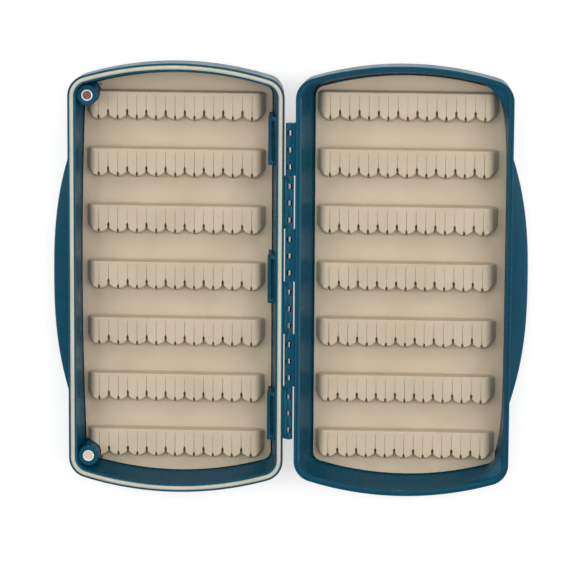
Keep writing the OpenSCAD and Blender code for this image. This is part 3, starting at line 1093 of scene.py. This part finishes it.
@dataclass
class MagnetPost:
    """A round post in a base corner with the magnet pressed into its top.

    Args:
        name: Which corner it stands in.
        v: Its place along the hinge.
        finish: Finish of the magnet. The two posts get a pale and a dark copy, which paint a lighter and a darker
            reflection.
        u: Its distance from the hinge.
        radius: Radius of the post.
        top: Height of the post.
        root: How deep it reaches into the floor.
        waist_z: Height of a ring that keeps the shading of its side even.
        edge: Rounding of the post's top.
        recess_edge: Rounding round the recess.
        fit: Clearance round the magnet's cup.
        magnet_r: Radius of the magnet with its cup.
        magnet_h: Height of both.
        sunk: How far the disc lies under the post's top.
        disc_edge: The disc's eased edge, by distances from the cup's outside and from the disc's top.
        dish: The disc's slightly dished middle, by radii and distances from its top.
        cup_w: Width of the cup's rim.
        cup_sunk: How far the cup's rim lies under the post's top.
        clear: Clearance between the post and what is cut round it.
    """

    name: str
    v: float
    finish: BrightMetal
    u: float = 84.351
    radius: float = 4.4
    top: float = 16.0
    root: float = 0.5
    waist_z: float = 9.0
    edge: float = 0.45
    recess_edge: float = 0.12
    fit: float = 0.05
    magnet_r: float = 2.35
    magnet_h: float = 3.0
    sunk: float = 0.06
    disc_edge: tuple[Flat, ...] = ((0.4, 0.3), (0.55, 0.14))
    dish: tuple[Flat, ...] = ((0.8, 0.17), (CAP, 0.18))
    cup_w: float = 0.5
    cup_sunk: float = 0.02
    clear: float = 0.3

    def turned(self, name: str, profile: Sequence[Flat], closed: bool = False) -> Piece:
        """Turns a profile about the post's axis, on the base's side."""
        return to_object(name, lathe(profile, (self.u, self.v, 0), closed=closed), Half.BASE.side)

    def notch(self, high: float) -> Piece:
        """Makes the cutter that clears the post up to a height."""
        return self.turned("notch", [(self.radius + self.clear, CUT_LOW), (self.radius + self.clear, high)])

    def post(self) -> Piece:
        """Makes the post with its recess.

        Returns:
            The post.
        """
        hole, recess_z = self.magnet_r + self.fit, self.top - self.magnet_h
        profile: list[Flat] = [(self.radius, FLOOR - self.root), (self.radius, self.waist_z)]
        profile += [(self.radius - inset, self.top - drop) for inset, drop in fillet(self.edge, steps=5)]
        profile += [(hole + inset, self.top - drop) for inset, drop in reversed(fillet(self.recess_edge, steps=3))]
        profile += [(hole, recess_z), (CAP, recess_z)]
        piece = self.turned(f"post_{self.name}", profile)
        even_shading(piece)
        return piece

    def magnet(self) -> Piece:
        """Makes the disc with its eased edge and slightly dished face.

        Returns:
            The disc.
        """
        top = self.top - self.sunk
        edge = [(self.magnet_r - gap, top - drop) for gap, drop in self.disc_edge]
        face = [(radius, top - drop) for radius, drop in self.dish]
        return self.turned(f"disc_{self.name}", [(edge[0][0], self.top - self.magnet_h), *edge, *face])

    def ring(self) -> Piece:
        """Makes the rim of the cup round the magnet, whose near-white colour is a painted highlight ring.

        Returns:
            The ring.
        """
        out, inside, top = self.magnet_r, self.magnet_r - self.cup_w, self.top - self.cup_sunk
        mid, r = (out + inside) / 2, (out - inside) / 2
        profile = [*arc((mid, top - r), r, 0, math.pi, steps=12), (inside, self.top - self.magnet_h),
                   (out, self.top - self.magnet_h)]
        return self.turned(f"cup_{self.name}", profile, closed=True)

    def dress(self) -> None:
        """Makes and places the three pieces."""
        place(self.post(), Half.BASE, Slot.SHELL, SHELL_FINISH)
        place(self.magnet(), Half.BASE, Slot.NICKEL, self.finish, f"base_magnet_{self.name}")
        place(self.ring(), Half.BASE, Slot.NICKEL, CUP_HIGHLIGHT_FINISH)


# ---- Slotted tabs ----


@dataclass
class SlottedTab:
    """A bracket at the foot of the base's hinge-side wall, with a narrow slot.

    Args:
        name: Which of the three it is.
        v: Its place along the hinge.
        root: Where it starts inside the wall, from the hinge.
        reach: Where it ends.
        bar: Width of the bar beyond the slot.
        slot_w: Width of the slot.
        slot_l: Length of the slot.
        slot_d: Depth of the slot.
        slot_over: How far the slot's cutter stands over the bracket.
        length: Length of the bracket.
        top: Its height.
        edge: Rounding of its edges.
        slot_r: Rounding of the slot's corners.
        soft: Rounding of the slot's mouth.
        clear: Clearances at the ends and at the front of what is cut round it.
    """

    name: str
    v: float
    root: float = 5.25
    reach: float = 9.3
    bar: float = 1.5
    slot_w: float = 1.2
    slot_l: float = 17.0
    slot_d: float = 2.0
    slot_over: float = 3.0
    length: float = 20.5
    top: float = 14.0
    edge: float = 0.5
    slot_r: float = 0.3
    soft: float = 0.14
    clear: Flat = (0.1, 0.15)

    def notch(self) -> Piece:
        """Makes the cutter that clears the bracket in the sheet.

        Returns:
            The cutter.
        """
        low, high = self.v - self.length / 2 - self.clear[0], self.v + self.length / 2 + self.clear[0]
        near, reach = PLAN.start, self.reach + self.clear[1]
        block = prism([(near, low), (reach, low), (reach, high), (near, high)], CUT_LOW, CUT_SHEET)
        return to_object("notch", block, Half.BASE.side)

    def dress(self) -> None:
        """Makes the bracket and places it."""
        half, far = self.length / 2, self.reach - self.bar
        block = rounded_box((self.root, self.v - half, FLOOR), (self.reach, self.v + half, self.top), self.edge, 4)
        piece = to_object(f"bracket_{self.name}", block, Half.BASE.side)
        slot = rounded_box((far - self.slot_w, self.v - self.slot_l / 2, self.top - self.slot_d),
                           (far, self.v + self.slot_l / 2, self.top + self.slot_over), self.slot_r)
        carve(piece, [to_object("slot", slot, Half.BASE.side)])
        ease(piece, self.soft, angle=50, steps=2)
        even_shading(piece)
        place(piece, Half.BASE, Slot.SHELL, SHELL_FINISH, f"slotted_tab_{self.name}")


# ---- Mats and ridges ----


@dataclass
class Mat:
    """The sheet under the ridges, with eased edges and notches round the posts and tabs.

    Args:
        half: The half that it lies in.
        floor: The floor that it lies on.
        clear: Gap between the sheet and the foot of the wall.
        edge: Rounding of its edges.
        margin: Border that keeps the paler edges, wear and painted highlight, off its middle.
    """

    half: Half
    floor: Floor
    clear: float = 0.12
    edge: float = 0.3
    margin: float = 1.0

    def dress(self, posts: Sequence[MagnetPost] = (), tabs: Sequence[SlottedTab] = ()) -> None:
        """Makes the sheet and places it.

        Args:
            posts: Posts that it is cut round.
            tabs: Tabs that it is cut round.
        """
        sheet = prism(self.floor.outline(self.clear), FLOOR, MAT_TOP)
        piece = to_object(f"{self.half.value}_sheet", sheet, self.half.side)
        carve(piece, [post.notch(CUT_SHEET) for post in posts] + [tab.notch() for tab in tabs])
        ease(piece, self.edge, angle=60, steps=4)
        border(piece, self.margin)
        even_shading(piece)
        place(piece, self.half, Slot.MAT, MAT_FINISH, f"{self.half.value}_mat")


@dataclass(frozen=True)
class EdgePoint:
    """A point of a ridge's outline.

    Args:
        x: Its place along the ridge, from the ridge's middle.
        y: Its place across the ridge, towards the back.
        radius: Radius of the top edge there.
        foot: Its shift at the sloping foot.
    """

    x: float
    y: float
    radius: float
    foot: Flat = (0.0, 0.0)


# Rings up a ridge's side, as shares of the way to the rounding of its top edge.
RIDGE_SIDE = (0.0, 0.25, 0.5, 0.75)


@dataclass
class Ridge:
    """A scalloped ridge with hook slits.

    Args:
        half: The half that it stands in.
        number: Its number, counted from the +Y end.
        u: Distance of its middle from the hinge.
        shift: Shift of all ridges of its half along the hinge.
        end_foot: How far its foot reaches out at the end towards the hinge and at the other end.
        scallops: Number of scallops.
        rows: Number of ridges in a half.
        pitch: Distance between two ridges.
        width: Width of a scallop.
        depth: Depth of the valley between two scallops.
        body: Depth of the ridge, from its back to the scallops' fronts.
        height: Height over the sheet.
        end: How far it runs past the middle of its last scallop.
        slit: Width of a slit.
        notch: Width and depth of the notch in front of a slit.
        stop: How far a slit stops short of the back.
        slope: How far the front's foot reaches out.
        back_corner: How far the rounded back corners reach along the back.
        back_edge: Radius of the back's top edge.
        back_foot: How far the back's foot reaches out.
        front_edge: Radius of the scallops' top edge.
        stray: How far a slit strays along the ridge, and its inner end from its mouth.
        slit_spread: Least and greatest width of a slit, as shares of its width.
        notch_spread: The same for the depth of a notch.
        stop_spread: Least and greatest change of a slit's inner end.
        tight: Least cosine of half a corner's turn at which a rounding keeps its width.
        scallop_steps: Spans between two slits.
        back_steps: Spans along the back.
        edge_steps: Steps of the top edge's rounding.
        sharp: Angle in degrees above which its edges shade as creases.
    """

    half: Half
    number: int
    u: float
    shift: float
    end_foot: Flat
    scallops: int = 9
    rows: int = 7
    pitch: float = 23.987
    width: float = 8.0
    depth: float = 2.4
    body: float = 11.4
    height: float = 5.5
    end: float = 3.1
    slit: float = 0.12
    notch: Flat = (1.0, 1.8)
    stop: float = 1.5
    slope: float = 1.7
    back_corner: float = 1.2
    back_edge: float = 0.5
    back_foot: float = 0.12
    front_edge: float = 0.5
    stray: float = 0.05
    slit_spread: Flat = (0.7, 1.4)
    notch_spread: Flat = (0.9, 1.1)
    stop_spread: Flat = (-0.25, 0.1)
    tight: float = 0.45
    scallop_steps: int = 7
    back_steps: int = 40
    edge_steps: int = 8
    sharp: float = 50.0

    def half_length(self) -> float:
        """Half of the ridge's length on top."""
        return (self.scallops - 1) * self.width / 2 + self.end

    def front(self, x: float) -> float:
        """Finds the front edge of the scallops.

        Args:
            x: Place along the ridge, from its middle.

        Returns:
            The edge's place across the ridge.
        """
        r = ((self.width / 2) ** 2 + self.depth ** 2) / (2 * self.depth)
        p = abs((x + self.scallops * self.width / 2) % self.width - self.width / 2)
        return r - math.sqrt(r * r - p * p) - self.body / 2

    def outline(self, chance: random.Random) -> list[EdgePoint]:
        """Draws the ridge anticlockwise from its back at -x.

        Args:
            chance: Source of the small differences between slits.

        Returns:
            Points round the ridge.
        """
        half, end, step = self.scallops * self.width / 2, self.half_length(), self.width / 2
        slits = 2 * self.scallops - 1
        lip = self.notch[0] / 2
        points = self.corner(-1)[::-1]
        points += self.run(-end, -half + step - lip, skip_first=True)
        for k in range(1, slits + 1):
            x = -half + k * step + chance.uniform(-self.stray, self.stray)
            points += self.mouth(x, chance)
            if k < slits:
                points += self.run(x + lip, x + step - lip)
        points += self.run(half - step + lip, end, skip_last=True)
        points += self.corner(1)
        span = 2 * end - 2 * self.back_corner
        points += [EdgePoint(end - self.back_corner - span * i / self.back_steps, self.body / 2, self.back_edge,
                             (0, self.back_foot)) for i in range(1, self.back_steps)]
        return points

    def corner(self, way: int) -> list[EdgePoint]:
        """Draws one end.

        Args:
            way: -1 or 1, for the end at -x or +x.

        Returns:
            Points round the end, from the front to the back.
        """
        end, out = way * self.half_length(), way * self.end_foot[0 if way < 0 else 1]
        low, back = self.front(self.half_length()), self.body / 2
        # Inset from the end, place across, radius of the top edge, share of the end's foot, shift of the foot.
        rows = ((0.25, low + 0.28, 1.0, 0.6, -self.slope * 0.35),
                (0.0, low + 0.9, 1.9, 1.0, self.slope * 0.5),
                (0.0, 0.0, 1.9, 1.0, 0.0),
                (0.0, back - 1.2, 1.9, 1.0, 0.1),
                (0.3, back - 0.3, 1.3, 0.75, self.back_foot),
                (self.back_corner, back, 0.6, 0.3, self.back_foot))
        return [EdgePoint(end - way * inset, y, radius, (out * share, shift))
                for inset, y, radius, share, shift in rows]

    def mouth(self, x: float, chance: random.Random) -> list[EdgePoint]:
        """Draws a notch with its slit.

        Args:
            x: Place of the slit along the ridge.
            chance: Source of the small differences between slits.

        Returns:
            Points from the notch's left side to its right.
        """
        w = self.slit / 2 * chance.uniform(*self.slit_spread)
        deep = self.notch[1] * chance.uniform(*self.notch_spread)
        lean = chance.uniform(-self.stray, self.stray)
        lip, tip = self.notch[0] / 2, self.front(x)
        top = self.body / 2 - self.stop + chance.uniform(*self.stop_spread)
        # Distance from the slit's middle, place across, radius of the top edge, share of the front's slope, lean.
        rows = ((lip, self.front(x - lip), 0.3, 1.0, 0.0),
                (lip * 0.8, tip + deep * 0.1, 0.12, 0.95, 0.0),
                (lip * 1.15, tip + deep * 0.35, 0.08, 0.7, 0.0),
                (lip * 0.7, tip + deep * 0.7, 0.06, 0.4, 0.0),
                (w, tip + deep, 0.04, 0.2, 0.0),
                (w * 0.6, top, 0.03, 0.0, lean))
        points = [EdgePoint(x - dx + t, y, r, (0, -self.slope * f)) for dx, y, r, f, t in rows]
        points.append(EdgePoint(x + lean, top + w, 0.02))
        return points + [EdgePoint(x + dx + t, y, r, (0, -self.slope * f)) for dx, y, r, f, t in reversed(rows)]

    def run(self, start: float, stop: float, skip_first: bool = False,
            skip_last: bool = False) -> list[EdgePoint]:
        """Draws the scallops between two places, without the places themselves.

        Args:
            start: First place.
            stop: Last place.
            skip_first: Whether the first point is left out too, beside a rounded corner.
            skip_last: Whether the last point is left out too.

        Returns:
            Points from start to stop.
        """
        steps = self.scallop_steps
        return [EdgePoint(x, self.front(x), self.front_edge, (0, -self.slope))
                for x in (start + (stop - start) * i / steps for i in range(1 + skip_first, steps - skip_last))]

    def outward(self, points: Sequence[EdgePoint]) -> list[Vector]:
        """Finds the way out at each point, longer at corners so that a rounding keeps its width.

        Args:
            points: Points of the outline.

        Returns:
            One direction for each point.
        """
        ways: list[Vector] = []
        for i, p in enumerate(points):
            before, after = points[i - 1], points[(i + 1) % len(points)]
            a = Vector((p.x - before.x, p.y - before.y)).normalized()
            b = Vector((after.x - p.x, after.y - p.y)).normalized()
            out = Vector((a.y + b.y, -a.x - b.x))
            out.normalize()
            ways.append(out / max(self.tight, out.dot(Vector((a.y, -a.x)))))
        return ways

    def lean(self, p: EdgePoint, out: Vector, turned: float, z: float) -> Spot:
        """Moves a point up its sloping side and in over its top edge.

        Args:
            p: Point of the outline.
            out: Its way out.
            turned: Share of its edge's radius by which it moves in.
            z: Height that it gets.

        Returns:
            The moved point.
        """
        fall = 1 - z / self.height
        return (p.x - out.x * p.radius * turned + p.foot[0] * fall,
                p.y - out.y * p.radius * turned + p.foot[1] * fall, z)

    def build(self) -> Piece:
        """Makes the ridge from rings that follow each point's own edge.

        Returns:
            The ridge.
        """
        points = self.outline(random.Random(f"{self.half.value}{self.number}"))
        pairs = list(zip(points, self.outward(points)))
        v = ((self.rows + 1) // 2 - self.number) * self.pitch + self.shift
        rings = [[self.lean(p, out, 0.0, share * (self.height - p.radius)) for p, out in pairs]
                 for share in RIDGE_SIDE]
        rings += [[self.lean(p, out, 1 - math.cos(a), self.height - p.radius * (1 - math.sin(a))) for p, out in pairs]
                  for a in sweep(QUARTER, self.edge_steps)]
        skin = loft([[(self.u + x, v + y, MAT_TOP + z) for x, y, z in ring] for ring in rings])
        return to_object(f"{self.half.value}_scallops_{self.number}", skin, self.half.side, self.sharp)

    def dress(self, posts: Sequence[MagnetPost] = ()) -> None:
        """Makes the ridge and places it.

        Args:
            posts: Posts that it is cut round.
        """
        piece = self.build()
        carve(piece, [post.notch(CUT_RIDGE) for post in posts])
        shade(piece.data, self.sharp)
        even_shading(piece)
        place(piece, self.half, Slot.MAT, MAT_FINISH, f"{self.half.value}_ridge_{self.number}")


# ---- Studio ----


@dataclass(frozen=True)
class Lamp:
    """A soft lamp that points at the box.

    Args:
        name: Name of the lamp.
        spot: Where it stands, in metres.
        size: Width and height of its face, in metres.
        power: Power in watts.
        gleam: Share of it that shows in reflections.
        fill: Share of it that lights the surfaces themselves.
    """

    name: str
    spot: Spot
    size: Flat
    power: float
    gleam: float
    fill: float = 1.0

    def hang(self) -> None:
        """Adds the lamp to the scene."""
        data = bpy.data.lights.new(self.name, "AREA")
        data.shape = "RECTANGLE"
        data.size, data.size_y, data.energy = *self.size, self.power
        data.specular_factor, data.diffuse_factor = self.gleam, self.fill
        piece = bpy.data.objects.new(self.name, data)
        piece.location = self.spot
        piece.rotation_euler = (-Vector(self.spot)).to_track_quat("-Z", "Y").to_euler()
        bpy.context.scene.collection.objects.link(piece)


LAMPS = (
    Lamp("overhead_softbox", spot=(0.1, 0.3, 2.0), size=(1.6, 1.3), power=9.5, gleam=0.08),
    Lamp("far_softbox", spot=(0.0, 1.4, 1.1), size=(1.4, 0.7), power=9, gleam=0.25),
    Lamp("left_softbox", spot=(-1.2, 0.3, 1.3), size=(1.0, 1.0), power=12, gleam=0.15),
    Lamp("right_panel", spot=(1.2, 0.1, 1.2), size=(1.2, 1.1), power=14, gleam=0.4, fill=0.45),
)


@dataclass
class Studio:
    """White floor, soft light and the camera as fitted to the photo.

    Args:
        focal_px: Focal length in pixels.
        image_w: Width of the photo in pixels.
        sensor_mm: Width of the camera's sensor.
        clip: Nearest and furthest that the camera sees, in metres.
        stand: Where the camera stands, in metres.
        right: Its axis to the right.
        up: Its axis upwards.
        back: Its axis backwards.
        sky: Strength of the world's even light on the box.
        paper: Grey of the floor, linear.
        paper_rough: Roughness of the floor.
        paper_gloss: Level of the floor's plain reflection.
        lift: Glow that brings the floor up to white where it is seen.
        floor_half: Half of the floor's width in millimetres.
        drop: How far the floor lies under the box, in metres, so that the two don't coincide.
    """

    focal_px: float = 4000.0
    image_w: int = 564
    sensor_mm: float = 36.0
    clip: Flat = (0.1, 20.0)
    stand: Spot = (0.084318, 0.337877, 1.643098)
    right: Spot = (0.9984786563908249, 0.005698561562273848, -0.05484431719051727)
    up: Spot = (-0.016721231540391644, 0.9791004297786227, -0.20268879797139508)
    back: Spot = (0.052543059938927286, 0.20329750319036724, 0.9777061685643683)
    sky: float = 0.28
    paper: float = 0.5
    paper_rough: float = 0.8
    paper_gloss: float = 0.1
    lift: float = 0.58
    floor_half: float = 3000.0
    drop: float = 0.00005

    def camera(self) -> None:
        """Places the camera as fitted to the photo."""
        data = bpy.data.cameras.new("camera")
        data.sensor_fit = "HORIZONTAL"
        data.sensor_width = self.sensor_mm
        data.lens = self.focal_px / self.image_w * self.sensor_mm
        data.clip_start, data.clip_end = self.clip
        piece = bpy.data.objects.new("camera", data)
        turn = Matrix((self.right, self.up, self.back)).transposed().to_4x4()
        piece.matrix_world = Matrix.Translation(self.stand) @ turn
        bpy.context.scene.collection.objects.link(piece)
        bpy.context.scene.camera = piece

    def seen_rays(self, tree: bpy.types.NodeTree) -> Socket:
        """Finds the rays that see the background directly, in a reflection or through glass.

        Args:
            tree: Node tree of the world or of the floor.

        Returns:
            A factor that is 1 for these rays.
        """
        path = tree.nodes.new("ShaderNodeLightPath")
        seen = path.outputs["Is Camera Ray"]
        for ray in ("Is Glossy Ray", "Is Transmission Ray"):
            either = tree.nodes.new("ShaderNodeMath")
            either.operation = "MAXIMUM"
            tree.links.new(seen, either.inputs[0])
            tree.links.new(path.outputs[ray], either.inputs[1])
            seen = either.outputs["Value"]
        return seen

    def light(self) -> None:
        """Adds the lamps, the world's even light and the white that is seen behind the box."""
        for lamp in LAMPS:
            lamp.hang()
        world = bpy.data.worlds.new("studio")
        world.use_nodes = True
        tree = world.node_tree
        sky = tree.nodes["Background"]
        sky.inputs["Color"].default_value = (1, 1, 1, 1)
        sky.inputs["Strength"].default_value = self.sky
        seen = tree.nodes.new("ShaderNodeBackground")
        seen.inputs["Color"].default_value = (1, 1, 1, 1)
        mix = tree.nodes.new("ShaderNodeMixShader")
        tree.links.new(self.seen_rays(tree), mix.inputs["Fac"])
        tree.links.new(sky.outputs["Background"], mix.inputs[1])
        tree.links.new(seen.outputs["Background"], mix.inputs[2])
        tree.links.new(mix.outputs["Shader"], tree.nodes["World Output"].inputs["Surface"])
        bpy.context.scene.world = world

    def floor(self) -> None:
        """Adds the white floor, which keeps the object's soft shadow."""
        bm = bmesh.new()
        bmesh.ops.create_grid(bm, x_segments=1, y_segments=1, size=self.floor_half)
        piece = to_object("floor", bm)
        material = bpy.data.materials.new("white_paper")
        material.use_nodes = True
        tree = material.node_tree
        paper = tree.nodes["Principled BSDF"]
        paper.inputs["Base Color"].default_value = (self.paper, self.paper, self.paper, 1)
        paper.inputs["Roughness"].default_value = self.paper_rough
        paper.inputs["Specular IOR Level"].default_value = self.paper_gloss
        glow = tree.nodes.new("ShaderNodeEmission")
        gain = tree.nodes.new("ShaderNodeMath")
        gain.operation = "MULTIPLY"
        gain.inputs[1].default_value = self.lift
        tree.links.new(self.seen_rays(tree), gain.inputs[0])
        tree.links.new(gain.outputs["Value"], glow.inputs["Strength"])
        both = tree.nodes.new("ShaderNodeAddShader")
        tree.links.new(paper.outputs["BSDF"], both.inputs[0])
        tree.links.new(glow.outputs["Emission"], both.inputs[1])
        tree.links.new(both.outputs["Shader"], tree.nodes["Material Output"].inputs["Surface"])
        piece.data.materials.append(material)
        piece.location.z = -self.drop

    def build(self) -> None:
        """Sets up the floor, the light, the camera and the view."""
        self.floor()
        self.light()
        self.camera()
        bpy.context.scene.view_settings.view_transform = "Standard"


@dataclass
class FlyBox:
    """The whole box.

    Args:
        tab_pitch: Distance between two tabs.
        post_v: Distance of the posts from the box's middle, along the hinge.
        lid_rim: Height of the lid's rim inside its lip.
        rows: Number of ridges in a half.
    """

    tab_pitch: float = 58.5
    post_v: float = 76.747
    lid_rim: float = 18.2
    rows: int = 7

    def build(self) -> None:
        """Builds every piece in order."""
        Shell(Half.BASE, BASE_FLOOR, rim_w=3.4, rim_top=RIM, lip_soft=0.3, wall_soft=0.34).dress()
        Shell(Half.LID, LID_FLOOR, rim_w=2.5, rim_top=self.lid_rim, lip_soft=0.5, wall_soft=0.75,
              needed=5.96).dress()
        Hinge().dress()
        Seal().dress()
        posts = [MagnetPost("upper", self.post_v, DARK_REFLECTION_NICKEL), MagnetPost("lower", -self.post_v, NICKEL_FINISH)]
        tabs = [SlottedTab(name, way * self.tab_pitch) for name, way in (("upper", 1), ("middle", 0), ("lower", -1))]
        for part in posts + tabs:
            part.dress()
        Mat(Half.BASE, BASE_FLOOR).dress(posts, tabs)
        Mat(Half.LID, LID_FLOOR).dress()
        beside = {1: posts[:1], self.rows: posts[1:]}
        for number in range(1, self.rows + 1):
            Ridge(Half.BASE, number, u=48.3, shift=-0.2, end_foot=(2.4, 2.2), rows=self.rows).dress(
                beside.get(number, ()))
            Ridge(Half.LID, number, u=48.2, shift=0.8, end_foot=(2.4, 2.8), rows=self.rows).dress()
        self.finish_hidden_magnets()

    def finish_hidden_magnets(self) -> None:
        """Gives the lid's magnets, which keep their CAD shape, their finish."""
        for name in ("upper", "lower"):
            hidden = bpy.data.objects[f"lid_magnet_{name}"]
            hidden.data.materials.clear()
            hidden.data.materials.append(NICKEL_FINISH.material())


def main() -> None:
    """Loads the frame and builds the box."""
    logging.basicConfig(level=logging.INFO, format="%(message)s")
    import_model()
    Studio().build()
    FlyBox().build()


if __name__ == "__main__":
    main()
